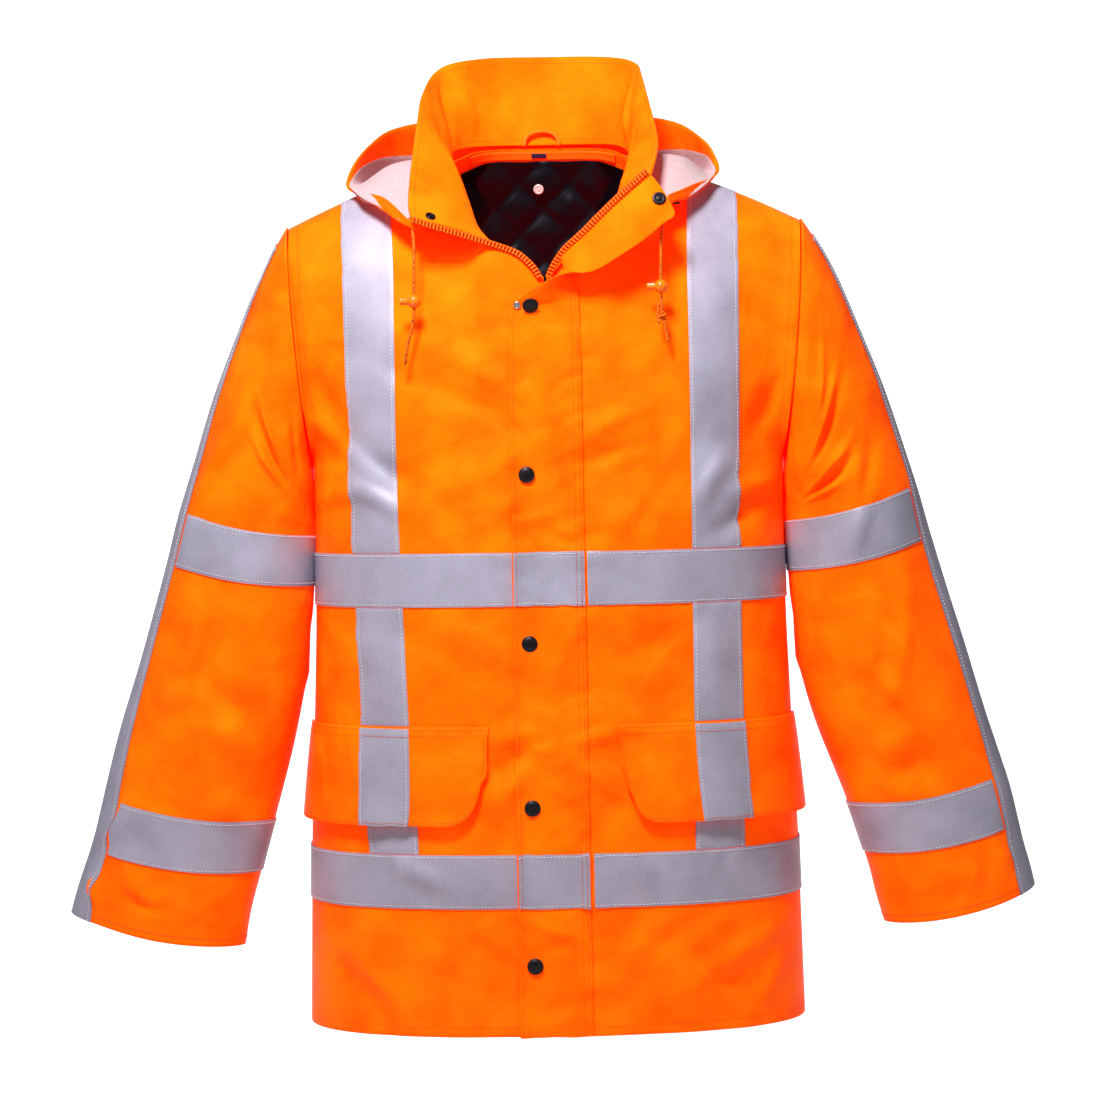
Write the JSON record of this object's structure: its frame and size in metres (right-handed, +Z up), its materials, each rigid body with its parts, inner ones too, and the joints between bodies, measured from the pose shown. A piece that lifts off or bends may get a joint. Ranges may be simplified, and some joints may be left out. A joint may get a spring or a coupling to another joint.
{
  "type": "hi-vis work jacket",
  "caption": "Orange hi-vis work jacket in its worn shape, with reflective bands and braces, storm flap, stand collar turned open and a folded-down hood.",
  "frame": {"origin": "centre line of the jacket at the height of the shoulders, mid depth, where a wearer's shoulders and neck hold it", "axes": "+Z up to the collar, +X to the wearer's left, the front faces -Y"},
  "size_m": [0.9266, 0.3104, 0.943],
  "materials": {
    "orange_cloth": "woven, slight sheen",
    "reflective_tape": "fine beads, silver",
    "dark_lining": "quilted, soft sheen",
    "pale_mesh": "matt",
    "gunmetal": "dark lacquered",
    "steel": "polished",
    "navy_label": "satin weave",
    "cord": "braided and moulded",
    "zip": "moulded"
  },
  "bodies": {
    "root": {"back": "orange_cloth", "brace_back_left_lower": "reflective_tape", "brace_back_left_upper": "reflective_tape", "brace_back_right_lower": "reflective_tape", "brace_back_right_upper": "reflective_tape", "brace_front_left_lower": "reflective_tape", "brace_front_left_middle": "reflective_tape", "brace_front_left_upper": "reflective_tape", "brace_front_right_lower": "reflective_tape", "brace_front_right_middle": "reflective_tape", "brace_front_right_upper": "reflective_tape", "brace_pocket_left": "reflective_tape", "brace_pocket_right": "reflective_tape", "chest_band_back": "reflective_tape", "chest_band_flap": "reflective_tape", "chest_band_front_left": "reflective_tape", "chest_band_front_right": "reflective_tape", "collar": "orange_cloth", "collar_stud": "gunmetal", "cord_knot": "cord", "cord_lock_left": "cord", "cord_lock_right": "cord", "drawcord_left": "cord", "drawcord_left_strand": "cord", "drawcord_right": "cord", "flap_socket": "gunmetal", "flap_stud": "steel", "front_left": "orange_cloth", "front_right": "orange_cloth", "hanger_loop": "orange_cloth", "hem_band_back": "reflective_tape", "hem_band_flap": "reflective_tape", "hem_band_front_left": "reflective_tape", "hem_band_front_right": "reflective_tape", "hood": "orange_cloth", "hood_lining": "pale_mesh", "hood_snap": "gunmetal", "label": "navy_label", "lining_snap": "steel", "neck_facing": "orange_cloth", "pocket_flap_left": "orange_cloth", "pocket_flap_right": "orange_cloth", "quilted_lining": "dark_lining", "sleeve_left": "orange_cloth", "sleeve_left_ring_lower": "reflective_tape", "sleeve_left_ring_upper": "reflective_tape", "sleeve_right": "orange_cloth", "sleeve_right_ring_lower": "reflective_tape", "sleeve_right_ring_upper": "reflective_tape", "sleeve_stripe_left": "reflective_tape", "sleeve_stripe_right": "reflective_tape", "snap_cap_1": "gunmetal", "snap_cap_2": "gunmetal", "snap_cap_3": "gunmetal", "snap_cap_4": "gunmetal", "snap_cap_5": "gunmetal", "storm_flap": "orange_cloth", "zip_left": "zip", "zip_right": "zip"}
  },
  "joints": []
}
